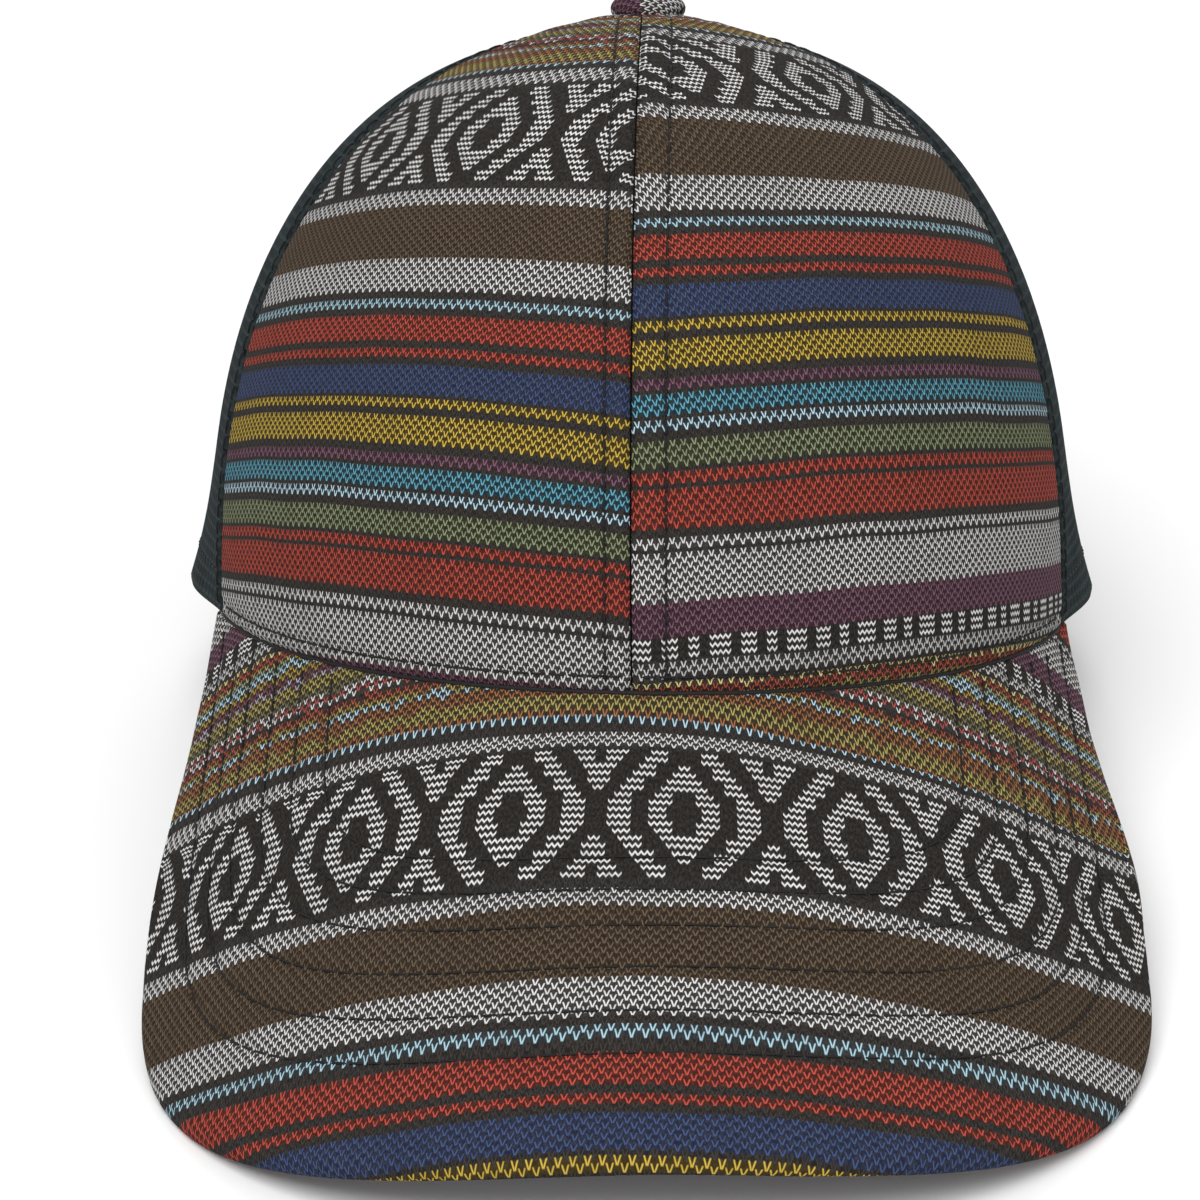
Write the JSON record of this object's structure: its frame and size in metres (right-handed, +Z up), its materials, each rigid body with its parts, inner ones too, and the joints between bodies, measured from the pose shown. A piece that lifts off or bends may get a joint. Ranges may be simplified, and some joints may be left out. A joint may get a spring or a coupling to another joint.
{
  "type": "trucker cap",
  "caption": "Cap with a patterned knit front and arched peak, open net sides and back, a fabric top button and a strap across a half-round rear opening.",
  "frame": {"origin": "middle of the cap's floor area, on the surface that it stands on", "axes": "+X to the wearer's left, +Y towards the back of the head, +Z up from the surface"},
  "size_m": [0.1708, 0.265, 0.1306],
  "materials": {
    "striped_knit": "two-layer knit with coloured stripes of small V stitches on a charcoal ground",
    "cap_net": "stiff black polyester net",
    "strap_plastic": "satin black"
  },
  "bodies": {
    "root": {"front_panel_left": "striped_knit", "front_panel_right": "striped_knit", "side_net_left": "cap_net", "side_net_right": "cap_net", "back_net_left": "cap_net", "back_net_right": "cap_net", "peak": "striped_knit", "snap_strap": "strap_plastic", "top_button": "striped_knit"}
  },
  "joints": []
}
